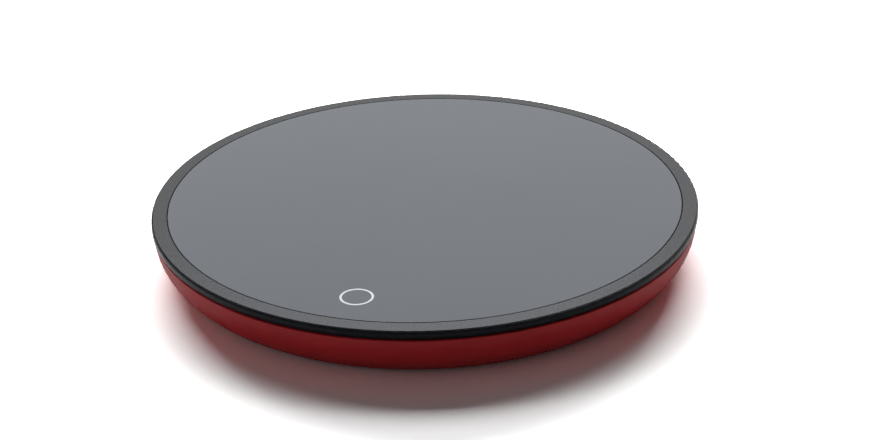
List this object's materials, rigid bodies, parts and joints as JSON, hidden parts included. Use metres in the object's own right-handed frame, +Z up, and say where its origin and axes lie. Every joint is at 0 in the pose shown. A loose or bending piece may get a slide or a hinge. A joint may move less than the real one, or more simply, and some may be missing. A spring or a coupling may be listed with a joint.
{
  "type": "electric mug warmer",
  "caption": "Slim round hot plate for a mug: glass top with a ring-shaped touch key, black bezel, red dish base and a USB-C inlet at the back.",
  "frame": {"origin": "on the table, at the centre of the disc, under the feet", "axes": "+Z up through the glass, -Y towards the front with the touch key, +Y towards the back with the inlet, +X to the right seen from the front"},
  "size_m": [0.12, 0.12, 0.013],
  "materials": {
    "grey_glass": "polished tempered glass, printed grey on its back",
    "white_enamel": "fired white print, satin",
    "bond_tape": "black acrylic foam tape",
    "black_plastic": "fine moulded grain",
    "black_rubber": "matt silicone",
    "red_shell": "satin red soft-touch lacquer",
    "foot_silicone": "matt silicone",
    "zinc_steel": "zinc plated",
    "thermal_gel": "soft silicone sheet",
    "pressed_aluminium": "pressed, satin",
    "amber_film": "amber polyimide",
    "etched_alloy": "etched nickel alloy foil",
    "fibre_felt": "needled ceramic fibre",
    "epoxy_bead": "dipped epoxy",
    "fuse_case": "plain metal case",
    "red_wire": "silicone insulation",
    "white_wire": "silicone insulation",
    "spring_steel": "bright drawn wire",
    "opal_plastic": "milky, light spreading",
    "led_resin": "clear resin",
    "board_laminate": "green solder mask",
    "chip_resin": "moulded black resin",
    "capacitor_ceramic": "fired ceramic",
    "connector_nylon": "natural nylon",
    "receptacle_steel": "nickel plated stamping"
  },
  "bodies": {
    "root": {"glass_panel": "grey_glass", "touch_ring_mark": "white_enamel", "glass_bond_ring": "bond_tape", "bezel_ring": "black_plastic", "bezel_seal": "black_rubber", "base_shell": "red_shell", "foot_pads": "foot_silicone", "case_screws": "zinc_steel", "thermal_pad": "thermal_gel", "heat_spreader": "pressed_aluminium", "heater_film": "amber_film", "heater_track": "etched_alloy", "insulation_pad": "fibre_felt", "clamp_plate": "zinc_steel", "clamp_screws": "zinc_steel", "thermistor_bead": "epoxy_bead", "thermal_fuse": "fuse_case", "fuse_clip": "zinc_steel", "heater_leads": "red_wire", "thermistor_leads": "white_wire", "power_leads": "red_wire", "touch_spring": "spring_steel", "light_guide": "opal_plastic", "status_leds": "led_resin", "control_board": "board_laminate", "board_screws": "zinc_steel", "microcontroller": "chip_resin", "voltage_regulator": "chip_resin", "power_mosfet": "chip_resin", "chip_capacitors": "capacitor_ceramic", "chip_resistors": "chip_resin", "heater_header": "connector_nylon", "heater_plug": "connector_nylon", "inlet_board": "board_laminate", "usb_receptacle_shell": "receptacle_steel", "usb_tongue": "chip_resin"}
  },
  "joints": []
}
